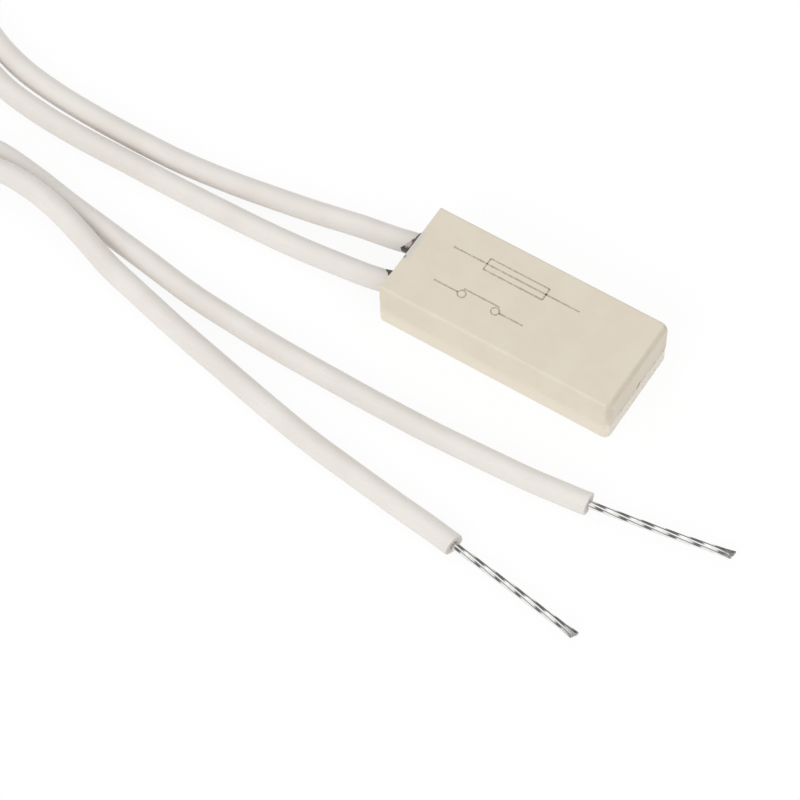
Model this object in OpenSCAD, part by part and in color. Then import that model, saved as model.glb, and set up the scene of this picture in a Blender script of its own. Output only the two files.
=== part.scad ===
// Thermal cut-out with two flying leads: a moulded cup holds a bimetal leaf and
// a pair of contacts, and resin seals the leads into the mouth of the cup.
// X runs along the cup from the mouth to the closed end, Y across it and Z up.
// The origin is on the underside, at the middle of the cup.

/* [Case] */
// Length of the case from its mouth to its closed end
case_len = 20.6; // [19:0.1:26]
// Width of the case below its parting line
case_w = 9; // [8.4:0.1:12]
// Height of the case
case_h = 4.5; // [4.4:0.1:7]
// Thickness of the two long side walls
side_wall = 0.7; // [0.5:0.05:0.9]
// Thickness of the top and bottom walls
face_wall = 0.7; // [0.5:0.05:0.8]
// Thickness of the wall at the closed end
end_wall = 1; // [0.8:0.1:1.6]
// Radius of the closed end's corners, seen from above
corner_r = 0.8; // [0.4:0.1:1.6]
// Radius of the closed end's top edge
nose_r = 0.5; // [0.2:0.1:1]
// Radius of the long edges and of the closed end's bottom edge
edge_r = 0.2; // [0.1:0.05:0.4]
// Radius of the corners inside the cavity
cavity_r = 0.4; // [0.2:0.1:0.8]
// Height of the mould parting line above the underside
parting_z = 1.9; // [1.5:0.1:2.8]
// Distance that the lower half is set back at the closed end
parting_step = 0.08; // [0.02:0.01:0.15]
// Distance that the upper half is set in along each side
side_step = 0.03; // [0.01:0.01:0.1]
// Diameter of the sunk gate mark on the closed end
gate_d = 0.8; // [0.5:0.1:1.4]
// Depth of the gate mark
gate_depth = 0.18; // [0.1:0.02:0.3]
// Diameter of the broken stub inside the gate mark
stub_d = 0.4; // [0.2:0.05:0.6]

/* [Seal] */
// Depth of the resin behind the mouth
seal_len = 5; // [4.6:0.1:6]
// Length of insulation that the resin grips
seal_grip = 2.5; // [2:0.1:3]
// Radius of the resin fillet that climbs each lead
climb_r = 1.1; // [0.4:0.1:1.2]

/* [Leads] */
// Outer diameter of the insulation
lead_d = 1.85; // [1.4:0.05:2]
// Distance between the two leads where they leave the case
lead_pitch = 4.16; // [3.6:0.02:4.6]
// Diameter of one of the seven strands
strand_d = 0.21; // [0.15:0.01:0.25]
// Length of one turn of the strands
strand_lay = 11.75; // [8:0.25:20]
// Stripped length at the free end
strip_len = 11.6; // [5:0.1:20]
// Clearance round the conductor
wire_fit = 0.02; // [0.01:0.01:0.05]

/* [Terminals] */
// Thickness of the terminal strip
plate_t = 0.3; // [0.2:0.05:0.4]
// Width of the strip where the carrier holds it
root_w = 5.2; // [4.8:0.1:5.6]
// Width of the fixed terminal's blade
blade_w = 3.4; // [2.4:0.1:4]
// Width of the tail that leads to the crimp
tail_w = 0.8; // [0.6:0.1:1.2]
// Length of the crimp barrel
barrel_len = 1.6; // [1:0.1:1.8]
// Width of the open seam along the barrel
seam_w = 0.1; // [0.05:0.05:0.2]
// Length of the step in the tail between the barrel and the carrier
joggle_len = 0.4; // [0.3:0.1:0.6]
// Length of the conductor that shows past the barrel
brush_len = 0.1; // [0.05:0.05:0.2]

/* [Carrier] */
// Thickness of the wall that keeps the resin back
dam_t = 0.8; // [0.5:0.1:1.2]
// Length of the block that holds both terminals
block_len = 3; // [2.4:0.1:3.4]
// Distance between the two terminals
spacer_h = 1.2; // [1.2:0.05:1.5]
// Plastic over the upper terminal
cover_t = 0.4; // [0.2:0.1:0.6]
// Plastic beside the terminals
cheek_t = 0.5; // [0.3:0.05:0.6]
// Diameter of the two keys that pass through each terminal
key_d = 1; // [0.6:0.1:1.4]
// Distance between the two keys
key_pitch = 3; // [2.4:0.1:3.4]
// Clearance of the carrier in the cavity
carrier_fit = 0.05; // [0.02:0.01:0.1]

/* [Contacts] */
// Distance from the carrier to the middle of the contacts
reach = 6.2; // [5:0.1:6.4]
// Length of the upper terminal past the carrier
clamp_len = 1.2; // [0.8:0.1:1.6]
// Thickness of the bimetal leaf
leaf_t = 0.15; // [0.1:0.01:0.2]
// Width of the bimetal leaf
leaf_w = 3.6; // [3:0.1:4.4]
// Gap between the leaf's root and the carrier
leaf_gap = 0.05; // [0.02:0.01:0.2]
// Radius of the dish pressed into the leaf
dish_r = 1.4; // [1:0.05:1.5]
// Height of the dish
dish_h = 0.18; // [0.1:0.02:0.3]
// Diameter of the two weld marks on the upper terminal
weld_d = 0.5; // [0.3:0.05:0.7]
// Depth of the weld marks
weld_depth = 0.05; // [0.03:0.01:0.1]
// Distance between the weld marks
weld_pitch = 2; // [1.2:0.1:2.6]
// Diameter of the contact heads
head_d = 1.7; // [1.2:0.1:2]
// Height of the fixed contact's head
head_h = 0.5; // [0.3:0.05:0.55]
// Radius of the moving contact's crowned face
crown_r = 4; // [3:0.5:8]
// Diameter of the contact shanks
shank_d = 0.8; // [0.5:0.05:1]
// Diameter of the moving contact's riveted head
rivet_d = 1.2; // [1.05:0.05:1.6]
// Height of the moving contact's riveted head
rivet_h = 0.15; // [0.1:0.01:0.25]
// Clearance round the shanks
shank_fit = 0.01; // [0.005:0.005:0.03]
// Gap between the closed contacts
touch_gap = 0.02; // [0.01:0.01:0.05]

/* [Hidden] */
$fn = 48;

// Overrun that makes a cut pass clear through a face
cut = 1;

// Planes along X
mouth_x = -case_len / 2;
end_x = case_len / 2;
cavity_x = end_x - end_wall;
grip_x = mouth_x + seal_grip;
dam_x = mouth_x + seal_len;
block_x = dam_x + dam_t;
front_x = block_x + block_len;
clamp_x = front_x + clamp_len;
contact_x = front_x + reach;
barrel_x = dam_x - joggle_len;
brush_x = barrel_x + brush_len;
dish_x = (clamp_x + contact_x - head_d / 2) / 2;

// Levels along Z
plate_z = face_wall + carrier_fit;
lead_z = plate_z + plate_t + spacer_h / 2;
arm_z = plate_z + plate_t + spacer_h;
touch_z = plate_z + plate_t + head_h;

cavity_w = case_w - 2 * side_wall;
cavity_h = case_h - 2 * face_wall;
lead_y = lead_pitch / 2;
conductor_d = 3 * strand_d;
barrel_id = conductor_d + 2 * wire_fit;
barrel_od = barrel_id + 2 * plate_t;

// The leads are swept with this many sides
sides = 8;
// Length of straight lead outside the mouth
stub_len = 0.5;
// Rings along the stripped end, where the lay of the strands shows
bare_rings = 24;

// Routes of the leads: distance from the mouth along X, place along Y, and
// height above the lead's own lying height. Each lead runs out from the mouth,
// turns round in a wide bight and comes back along the front of the case.
lead_1_run = [
    [-2.4, 1.75, 0.64], [-5.5, 1.4, 0.38], [-9, 0.85, 0.1], [-13, 0.2, 0], [-17, -0.4, 0],
    [-21, -0.8, 0], [-25, -0.9, 0], [-29, -0.85, 0], [-33, -0.6, 0], [-36.5, -0.1, 0],
    [-39.5, 0.8, 0], [-42.5, 2.1, 0], [-46, 3.1, 0], [-49.7, 2.7, 0], [-52.8, 0.7, 0],
    [-54.8, -2.4, 0], [-55.3, -6, 0], [-54.2, -9.5, 0], [-51.7, -12.2, 0], [-48.3, -13.7, 0],
    [-44.6, -13.6, 0], [-41.2, -12.2, 0], [-38, -10.9, 0.4], [-34.5, -10.1, 1], [-31, -9.8, 1.3],
    [-27, -10.3, 1.3], [-23.5, -11.2, 0.9], [-20, -12.3, 0.4], [-16.5, -13.1, 0.1], [-12, -14.2, 0],
    [-7.5, -15.2, 0], [-3, -16.2, 0], [1.5, -17.1, 0], [6, -17.75, 0], [10.5, -18.35, 0],
    [13.2, -18.67, 0], [15.2, -18.94, 0], [15.7, -19.015, 0]
];
lead_2_run = [
    [-2.4, -2.37, 0.62], [-5.5, -2.6, 0.36], [-9, -2.8, 0.1], [-13, -2.95, 0], [-17, -3.05, 0],
    [-21, -3.1, 0], [-25, -3.1, 0], [-29, -3.1, 0], [-33, -2.9, 0], [-37, -2.3, 0],
    [-40.5, -1.1, 0], [-43.6, 0.3, 0], [-46.8, 1.1, 0], [-50, 0.3, 0], [-52.4, -2.1, 0],
    [-53.2, -5.3, 0], [-52.4, -8.5, 0], [-50, -10.9, 0], [-46.8, -11.7, 0], [-43.6, -10.9, 0],
    [-40.5, -9.3, 0], [-37.5, -8.2, 0], [-34, -7.8, 0], [-30, -8.2, 0], [-26, -8.9, 0],
    [-22, -9.5, 0], [-18, -10.1, 0], [-13.5, -10.8, 0], [-9, -11.2, 0], [-4.5, -11.45, 0],
    [0, -11.55, 0], [4.5, -11.6, 0], [9, -11.55, 0], [13.5, -11.35, 0], [18, -11.08, 0],
    [20.2, -10.84, 0], [21.9, -10.655, 0], [22.4, -10.57, 0]
];

function unit(v) = v / norm(v);

// Direction of a path at one of its points
function heading(path, i) = unit(path[min(i + 1, len(path) - 1)] - path[max(i - 1, 0)]);

// Centre line of a lead's insulation, from inside the resin to the stripped end
function lead_path(run, y) = concat(
    [[grip_x, y, lead_z], [mouth_x - stub_len, y, lead_z]],
    [for (p = run) [mouth_x + p[0], p[1], lead_d / 2 + p[2]]]
);

// Centre line of the conductor, which goes on past the insulation at both ends
function wire_path(path) =
    let(last = path[len(path) - 1], along = heading(path, len(path) - 1))
    concat(
        [[brush_x, path[0][1], path[0][2]]],
        path,
        [for (k = [1:bare_rings]) last + along * strip_len * k / bare_rings]
    );

// Turn of the strands at each point of the conductor's centre line
function wire_turns(path) = concat(
    [0],
    [for (p = path) 0],
    [for (k = [1:bare_rings]) 360 * strip_len / strand_lay * k / bare_rings]
);

// Outline of an even polygon with a flat underneath
function polygon_section(r) = [
    for (k = [0:sides - 1]) r * [cos((k + 0.5) * 360 / sides), sin((k + 0.5) * 360 / sides)]
];

// Radius of six strands laid round a seventh, at an angle from a strand's middle
function lobe_radius(a) =
    strand_d * cos(a) + sqrt(max(0, pow(strand_d / 2, 2) - pow(strand_d * sin(a), 2)));

// Outline of the seven strands, with three points to each outer strand
function strand_section() = [
    for (lobe = [0:5], a = [-30, -10, 10]) lobe_radius(a) * [cos(60 * lobe + a), sin(60 * lobe + a)]
];

// One outline set square to a path, turned about it
function ring(centre, along, section, turn) =
    let(
        across = unit(cross([0, 0, 1], along)),
        upward = cross(along, across)
    )
    [
        for (q = section)
            centre + (q[0] * cos(turn) - q[1] * sin(turn)) * across
                + (q[0] * sin(turn) + q[1] * cos(turn)) * upward
    ];

function rings(path, section, turns) = [
    for (i = [0:len(path) - 1]) each ring(path[i], heading(path, i), section, turns[i])
];

// Triangles of the skin between neighbouring rings of n points, facing outward
function skin(count, n, first = 0) = [
    for (i = [0:count - 2], j = [0:n - 1])
        let(
            a = first + i * n + j,
            b = first + i * n + (j + 1) % n,
            c = b + n,
            d = a + n
        )
        each [[a, d, c], [a, c, b]]
];

function reversed(faces) = [for (f = faces) [for (k = [len(f) - 1:-1:0]) f[k]]];

// A solid swept along a path
module swept(path, section, turns) {
    n = len(section);
    count = len(path);
    polyhedron(
        points = rings(path, section, turns),
        faces = concat(
            [[for (j = [0:n - 1]) j]],
            skin(count, n),
            [[for (j = [n - 1:-1:0]) (count - 1) * n + j]]
        )
    );
}

// A tube swept along a path
module swept_tube(path, outer, inner) {
    n = len(outer);
    count = len(path);
    bore = count * n;
    still = [for (p = path) 0];
    starts = [for (j = [0:n - 1]) [j, (j + 1) % n, bore + (j + 1) % n, bore + j]];
    ends = [for (f = starts) [for (k = f) k + (count - 1) * n]];
    polyhedron(
        points = concat(rings(path, outer, still), rings(path, inner, still)),
        faces = concat(skin(count, n), reversed(skin(count, n, bore)), starts, reversed(ends))
    );
}

// A rectangle with round corners, about its middle
module round_rect(w, h, r) {
    square([w - 2 * r, h], center = true);
    square([w, h - 2 * r], center = true);
    for (x = [-1, 1], y = [-1, 1])
        translate([x * (w / 2 - r), y * (h / 2 - r)])
            circle(r);
}

// Strip from the mouth towards the closed end, with round corners at that end only
module nosed_strip(tip, half, r) {
    translate([mouth_x, -half])
        square([tip - r - mouth_x, 2 * half]);
    translate([mouth_x, r - half])
        square([tip - mouth_x, 2 * (half - r)]);
    for (side = [-1, 1])
        translate([tip - r, side * (half - r)])
            circle(r);
}

// A section in Y and Z drawn out along X
module along_x(from, to) {
    translate([from, 0, 0])
        rotate([90, 0, 90])
            linear_extrude(to - from)
                children();
}

// A profile in X and Z drawn out across Y, about the middle
module across_y(w) {
    translate([0, w / 2, 0])
        rotate([90, 0, 0])
            linear_extrude(w)
                children();
}

// A cylinder along X
module rod_x(d, from, to) {
    translate([from, 0, 0])
        rotate([0, 90, 0])
            cylinder(d = d, h = to - from);
}

// One half of the case's outside, with its closed end and sides set in by their steps
module case_half(end_in, side_in, nose, from, to) {
    intersection() {
        translate([0, 0, from])
            linear_extrude(to - from)
                nosed_strip(end_x - end_in, case_w / 2 - side_in, corner_r);
        translate([0, 0, case_h / 2])
            across_y(case_w + 2 * cut)
                nosed_strip(end_x - end_in, case_h / 2, nose);
        translate([0, 0, case_h / 2])
            along_x(mouth_x - cut, end_x + cut)
                round_rect(case_w - 2 * side_in, case_h, edge_r);
    }
}

// The space inside the case between two planes
module cavity(from, to, fit = 0) {
    translate([0, 0, case_h / 2])
        along_x(from, to)
            round_rect(cavity_w - 2 * fit, cavity_h - 2 * fit, cavity_r - fit);
}

// Moulded cup with its gate mark on the closed end
module case() {
    color([0.87, 0.83, 0.74])
        difference() {
            union() {
                case_half(0, side_step, nose_r, parting_z, case_h);
                case_half(parting_step, 0, edge_r, 0, parting_z);
            }
            cavity(mouth_x - cut, cavity_x);
            translate([0, 0, parting_z])
                difference() {
                    rod_x(gate_d, end_x - gate_depth, end_x + cut);
                    rod_x(stub_d, end_x - gate_depth - cut, end_x - gate_depth / 2);
                }
        }
}

// Fillet of resin round one lead, on the outside of the mouth
module climb(y) {
    translate([mouth_x, y, lead_z])
        rotate([0, -90, 0])
            rotate_extrude()
                difference() {
                    square([lead_d / 2 + climb_r, climb_r]);
                    translate([lead_d / 2 + climb_r, climb_r])
                        circle(climb_r);
                }
}

// Resin that fills the mouth round the leads and their crimps
module end_seal() {
    color([0.2, 0.18, 0.18])
        difference() {
            union() {
                cavity(mouth_x, dam_x);
                intersection() {
                    cavity(mouth_x - climb_r - cut, mouth_x + cut);
                    union() {
                        climb(lead_y);
                        climb(-lead_y);
                    }
                }
            }
            lead_cut(lead_1_run, lead_y);
            lead_cut(lead_2_run, -lead_y);
            tail(true);
            flipped()
                tail(true);
        }
}

// Room in the resin for a lead's insulation and for the bare wire behind it
module lead_cut(run, y) {
    near = [for (i = [0:3]) lead_path(run, y)[i]];
    swept(near, polygon_section(lead_d / 2), [for (p = near) 0]);
    translate([0, y, lead_z])
        rod_x(barrel_id, grip_x - wire_fit, brush_x);
}

// Turns a terminal over about the middle of the mouth
module flipped() {
    translate([0, 0, 2 * lead_z])
        rotate([180, 0, 0])
            children();
}

// Tail of a terminal: a crimp barrel and the stepped strip that leads to it
module tail(filled = false) {
    low = lead_z - barrel_od / 2;
    edge = [
        [barrel_x - barrel_len, low], [barrel_x, low], [dam_x, plate_z], [block_x, plate_z]
    ];
    translate([0, -lead_y, 0])
        difference() {
            union() {
                across_y(tail_w)
                    polygon(concat(edge, [for (k = [3:-1:0]) edge[k] + [0, plate_t]]));
                translate([0, 0, lead_z])
                    rod_x(barrel_od, barrel_x - barrel_len, barrel_x);
            }
            if (!filled) {
                translate([0, 0, lead_z])
                    rod_x(barrel_id, barrel_x - barrel_len - cut, barrel_x + cut);
                translate([barrel_x - barrel_len - cut, -seam_w / 2, lead_z])
                    cube([barrel_len + 2 * cut, seam_w, barrel_od]);
            }
        }
}

// Flat part of a terminal at the carrier, with the holes for the two keys
module keyed_plate(tip) {
    difference() {
        union() {
            translate([block_x, -root_w / 2])
                square([tip - block_x, root_w]);
            children();
        }
        for (side = [-1, 1])
            translate([(block_x + front_x) / 2, side * key_pitch / 2])
                circle(d = key_d);
    }
}

module fixed_terminal_form() {
    tail();
    translate([0, 0, plate_z])
        linear_extrude(plate_t)
            difference() {
                keyed_plate(front_x) {
                    translate([front_x, -blade_w / 2])
                        square([reach, blade_w]);
                    translate([contact_x, 0])
                        circle(d = blade_w);
                }
                translate([contact_x, 0])
                    circle(d = shank_d + 2 * shank_fit);
            }
}

module arm_terminal_form() {
    difference() {
        flipped() {
            tail();
            translate([0, 0, plate_z])
                linear_extrude(plate_t)
                    keyed_plate(clamp_x);
        }
        for (side = [-1, 1])
            translate([(front_x + clamp_x) / 2, side * weld_pitch / 2, arm_z + plate_t - weld_depth])
                cylinder(d = weld_d, h = cut);
    }
}

// Lower stamped strip, which carries the fixed contact
module fixed_terminal() {
    color([0.78, 0.65, 0.35])
        fixed_terminal_form();
}

// Upper stamped strip, which clamps the leaf
module arm_terminal() {
    color([0.78, 0.65, 0.35])
        arm_terminal_form();
}

// Insulating carrier moulded round both terminals, with a wall that holds the resin back
module contact_carrier() {
    block_w = root_w + 2 * cheek_t;
    block_h = arm_z + plate_t + cover_t - plate_z;
    color([0.25, 0.16, 0.12])
        difference() {
            union() {
                cavity(dam_x, block_x, carrier_fit);
                translate([block_x, -block_w / 2, plate_z])
                    cube([block_len, block_w, block_h]);
            }
            fixed_terminal_form();
            arm_terminal_form();
        }
}

// Snap-acting bimetal leaf, welded under the upper terminal and dished in the middle
module bimetal_leaf() {
    dish_ball = (pow(dish_r, 2) + pow(dish_h, 2)) / (2 * dish_h);
    low = arm_z - leaf_t;
    color([0.66, 0.62, 0.56])
        difference() {
            union() {
                translate([0, 0, low])
                    linear_extrude(leaf_t) {
                        translate([front_x + leaf_gap, -leaf_w / 2])
                            square([contact_x - front_x - leaf_gap, leaf_w]);
                        translate([contact_x, 0])
                            circle(d = leaf_w);
                    }
                intersection() {
                    translate([dish_x, 0, arm_z + dish_h - dish_ball])
                        sphere(dish_ball);
                    translate([dish_x, 0, arm_z - leaf_t / 2])
                        cylinder(r = 2 * dish_r, h = dish_h + leaf_t);
                }
            }
            translate([dish_x, 0, low + dish_h - dish_ball])
                sphere(dish_ball);
            translate([contact_x, 0, low - cut])
                cylinder(d = shank_d + 2 * shank_fit, h = leaf_t + 2 * cut);
        }
}

// Contact rivet in the lower terminal
module fixed_contact() {
    color([0.85, 0.85, 0.83])
        translate([contact_x, 0, plate_z]) {
            cylinder(d = shank_d, h = plate_t);
            translate([0, 0, plate_t])
                cylinder(d = head_d, h = head_h);
        }
}

// Contact rivet in the leaf, with a crowned face below and a riveted head above
module moving_contact() {
    face_z = touch_z + touch_gap;
    seat_z = arm_z - leaf_t;
    color([0.85, 0.85, 0.83])
        translate([contact_x, 0, 0]) {
            intersection() {
                translate([0, 0, face_z + crown_r])
                    sphere(crown_r);
                translate([0, 0, face_z])
                    cylinder(d = head_d, h = seat_z - face_z);
            }
            translate([0, 0, seat_z])
                cylinder(d = shank_d, h = leaf_t);
            translate([0, 0, arm_z])
                cylinder(d = rivet_d, h = rivet_h);
        }
}

// Extruded insulation of one lead
module lead_insulation(run, y) {
    color([0.9, 0.88, 0.86])
        swept_tube(
            lead_path(run, y),
            polygon_section(lead_d / 2),
            polygon_section((conductor_d / 2 + wire_fit) / cos(180 / sides))
        );
}

// Seven tinned strands of one lead, from the crimp to the stripped end
module lead_conductor(run, y) {
    path = lead_path(run, y);
    color([0.75, 0.76, 0.78])
        swept(wire_path(path), strand_section(), wire_turns(path));
}

module lead_1_insulation() {
    lead_insulation(lead_1_run, lead_y);
}

module lead_1_conductor() {
    lead_conductor(lead_1_run, lead_y);
}

module lead_2_insulation() {
    lead_insulation(lead_2_run, -lead_y);
}

module lead_2_conductor() {
    lead_conductor(lead_2_run, -lead_y);
}

case();
end_seal();
contact_carrier();
fixed_terminal();
arm_terminal();
bimetal_leaf();
fixed_contact();
moving_contact();
lead_1_insulation();
lead_1_conductor();
lead_2_insulation();
lead_2_conductor();
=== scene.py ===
import math

import bpy
import numpy as np
from mathutils import Matrix, Vector
from mathutils import noise as clouds


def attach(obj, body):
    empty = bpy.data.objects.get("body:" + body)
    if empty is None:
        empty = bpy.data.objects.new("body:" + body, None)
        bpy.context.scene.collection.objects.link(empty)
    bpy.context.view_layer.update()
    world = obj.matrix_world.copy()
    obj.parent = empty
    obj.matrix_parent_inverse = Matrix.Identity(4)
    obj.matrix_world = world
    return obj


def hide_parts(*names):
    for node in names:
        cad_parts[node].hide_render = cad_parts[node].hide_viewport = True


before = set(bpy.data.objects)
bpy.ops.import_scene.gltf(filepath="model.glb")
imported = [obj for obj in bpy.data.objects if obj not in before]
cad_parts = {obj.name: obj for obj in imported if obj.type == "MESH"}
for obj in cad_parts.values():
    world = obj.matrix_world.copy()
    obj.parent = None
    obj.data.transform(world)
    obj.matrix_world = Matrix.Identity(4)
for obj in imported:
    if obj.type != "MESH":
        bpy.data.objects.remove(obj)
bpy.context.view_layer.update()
mm = 0.001  # all shapes below are worked out in millimetres


def putObject(name, data):
    thing = bpy.data.objects.new(name, data)
    bpy.context.scene.collection.objects.link(thing)
    return thing


# camera

cameraSet = {
    "frame": 800,  # pixels each way
    "focal": 4019.59,  # pixels
    "distance": 311.349,  # from the middle of the case's underside
    "elevation": 58.013,
    "azimuth": 31.969,
    "roll": 0.325,
    "middleAt": (523.190, 338.414),  # pixel on which that middle falls
    "sensor": 36,
    "clip": (0.01, 20),  # metres
}


def placeCamera(c):
    tilt, turn, roll = (math.radians(c[k]) for k in ("elevation", "azimuth", "roll"))
    back = Vector((math.sin(turn) * math.cos(tilt), -math.cos(turn) * math.cos(tilt), math.sin(tilt)))
    level = Vector((math.cos(turn), math.sin(turn), 0))
    rise = back.cross(level)
    right = math.cos(roll) * level + math.sin(roll) * rise
    up = math.cos(roll) * rise - math.sin(roll) * level
    perPixel = c["distance"] / c["focal"]
    aside = (c["middleAt"][0] - c["frame"] / 2) * perPixel
    below = (c["middleAt"][1] - c["frame"] / 2) * perPixel
    eye = (back * c["distance"] - right * aside + up * below) * mm
    data = bpy.data.cameras.new("photo_camera")
    data.sensor_width = c["sensor"]
    data.lens = c["focal"] / c["frame"] * data.sensor_width
    data.clip_start, data.clip_end = c["clip"]
    camera = putObject("photo_camera", data)
    rows = [(*row, at) for row, at in zip(zip(right, up, back), eye)]
    camera.matrix_world = Matrix(rows + [(0, 0, 0, 1)])
    bpy.context.scene.camera = camera


placeCamera(cameraSet)
print("camera placed")


# shader sockets

class Sock:
    # a socket of a node tree that can be added, scaled and so on as a number is
    def __init__(self, tree, out=None):
        self.tree = tree
        self.out = out

    def add(self, kind, settings=None, inputs=None, out=0):
        node = self.tree.nodes.new("ShaderNode" + kind)
        for key, value in (settings or {}).items():
            setattr(node, key, value)
        for key, value in (inputs or {}).items():
            if isinstance(value, Sock):
                self.tree.links.new(value.out, node.inputs[key])
            else:
                node.inputs[key].default_value = value
        return Sock(self.tree, node.outputs[out] if node.outputs else None)

    def maths(self, how, first, second=0.0):
        return self.add("Math", {"operation": how}, {0: first, 1: second})

    def __add__(self, other):
        return self.maths("ADD", self, other)

    def __radd__(self, other):
        return self.maths("ADD", other, self)

    def __sub__(self, other):
        return self.maths("SUBTRACT", self, other)

    def __rsub__(self, other):
        return self.maths("SUBTRACT", other, self)

    def __mul__(self, other):
        return self.maths("MULTIPLY", self, other)

    def __rmul__(self, other):
        return self.maths("MULTIPLY", other, self)

    def __truediv__(self, other):
        return self.maths("DIVIDE", self, other)

    def __rtruediv__(self, other):
        return self.maths("DIVIDE", other, self)

    def __pow__(self, other):
        return self.maths("POWER", self, other)

    def __rpow__(self, other):
        return self.maths("POWER", other, self)

    def size(self):
        return self.maths("ABSOLUTE", self)

    def most(self, other):
        return self.maths("MAXIMUM", self, other)

    def away(self, at, other, otherAt):  # distance from a line, seen along it
        return ((self - at) ** 2 + (other - otherAt) ** 2) ** 0.5

    def rise(self, low, high):  # 0 below low, 1 above high, smooth between
        limits = {"Value": self, "From Min": low, "From Max": high}
        return self.add("MapRange", {"interpolation_type": "SMOOTHSTEP"}, limits)

    def tint(self, under, over):  # this mask lays one colour over another
        return self.add("Mix", {"data_type": "RGBA"}, {0: self, 6: under, 7: over}, out=2)

    def grain(self, scale, detail=2.0, rough=0.5):  # noise over these coordinates
        sizes = {"Vector": self, "Scale": scale, "Detail": detail, "Roughness": rough}
        return self.add("TexNoise", {"noise_dimensions": "3D"}, sizes)

    def stretched(self, x, y, z):
        return self.add("VectorMath", {"operation": "MULTIPLY"}, {0: self, 1: (x, y, z)})

    def parts(self):
        node = self.add("SeparateXYZ", None, {0: self}).out.node
        return [Sock(self.tree, o) for o in node.outputs]

    def bump(self, depth, strength=1.0):  # depth in millimetres
        return self.add("Bump", None, {"Height": self, "Distance": depth * mm, "Strength": strength})


def rgb(r, g, b):
    return (r, g, b, 1.0)


def emptyTree(holder):
    holder.use_nodes = True
    holder.node_tree.nodes.clear()
    return Sock(holder.node_tree)


def newFinish(name):
    material = bpy.data.materials.new(name)
    start = emptyTree(material)
    place = start.add("TexCoord", out="Object")
    return material, start, place.stretched(1 / mm, 1 / mm, 1 / mm)  # coordinates in millimetres


def markOn(start, name):  # a value kept on the mesh's points
    return start.add("Attribute", {"attribute_name": name}, out="Fac")


def close(start, **inputs):
    named = {key.replace("_", " "): value for key, value in inputs.items()}
    skin = start.add("BsdfPrincipled", None, named)
    start.add("OutputMaterial", None, {"Surface": skin})


# meshes

def shadeSmooth(mesh, sharpOver):
    mesh.polygons.foreach_set("use_smooth", [True] * len(mesh.polygons))
    mesh.set_sharp_from_angle(angle=math.radians(sharpOver))


def addPiece(name, points, faces, finish, stands=(), body="housing", sharpOver=40):
    mesh = bpy.data.meshes.new(name)
    mesh.from_pydata((np.asarray(points, float) * mm).tolist(), [], faces)
    mesh.update()
    mesh.materials.append(finish)
    shadeSmooth(mesh, sharpOver)
    piece = putObject(name, mesh)
    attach(piece, body)
    if stands:
        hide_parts(*stands)
    return piece


def setMark(piece, name, values):
    mark = piece.data.attributes.new(name, "FLOAT", "POINT")
    mark.data.foreach_set("value", values.astype(np.float32))


def part01(value):
    return min(1.0, max(0.0, value))


def ringFaces(rings, sides, first=0, closed=True):
    faces = []
    for i in range(rings - 1):
        for j in range(sides if closed else sides - 1):
            a, b = first + i * sides + j, first + i * sides + (j + 1) % sides
            faces.append((a, b, b + sides, a + sides))
    return faces


def smoothLine(points, perSpan=16):
    # centripetal curve through the points, so that it doesn't swing wide where they are uneven
    points = [np.array(p, float) for p in points]
    points = [2 * points[0] - points[1]] + points + [2 * points[-1] - points[-2]]
    line = []
    for a, b, c, d in zip(points, points[1:], points[2:], points[3:]):
        t1 = np.linalg.norm(b - a) ** 0.5
        t2 = t1 + np.linalg.norm(c - b) ** 0.5
        t3 = t2 + np.linalg.norm(d - c) ** 0.5
        for t in np.linspace(t1, t2, perSpan, endpoint=False):
            ab = a + (b - a) * t / t1
            bc = b + (c - b) * (t - t1) / (t2 - t1)
            cd = c + (d - c) * (t - t2) / (t3 - t2)
            abc = ab + (bc - ab) * t / t2
            bcd = bc + (cd - bc) * (t - t1) / (t3 - t1)
            line.append(abc + (bcd - abc) * (t - t1) / (t2 - t1))
    line.append(points[-2])
    return np.array(line)


def lengthsAlong(line):
    return np.concatenate([[0], np.cumsum(np.linalg.norm(np.diff(line, axis=0), axis=1))])


def pointsAt(line, distances, values=None):
    # points of the line at these distances along it, or what else is given for its points
    values = line if values is None else values
    lengths = lengthsAlong(line)
    return np.stack([np.interp(distances, lengths, values[:, k]) for k in range(3)], axis=1)


def sweep(centres, along, outlines):
    # outlines set square to a line, their first measure level and their second upward
    along = along / np.linalg.norm(along, axis=1, keepdims=True)
    across = np.cross([0, 0, 1], along)
    across /= np.linalg.norm(across, axis=1, keepdims=True)
    upward = np.cross(along, across)
    return centres[:, None] + outlines[..., :1] * across[:, None] + outlines[..., 1:] * upward[:, None]


# finishes

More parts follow.
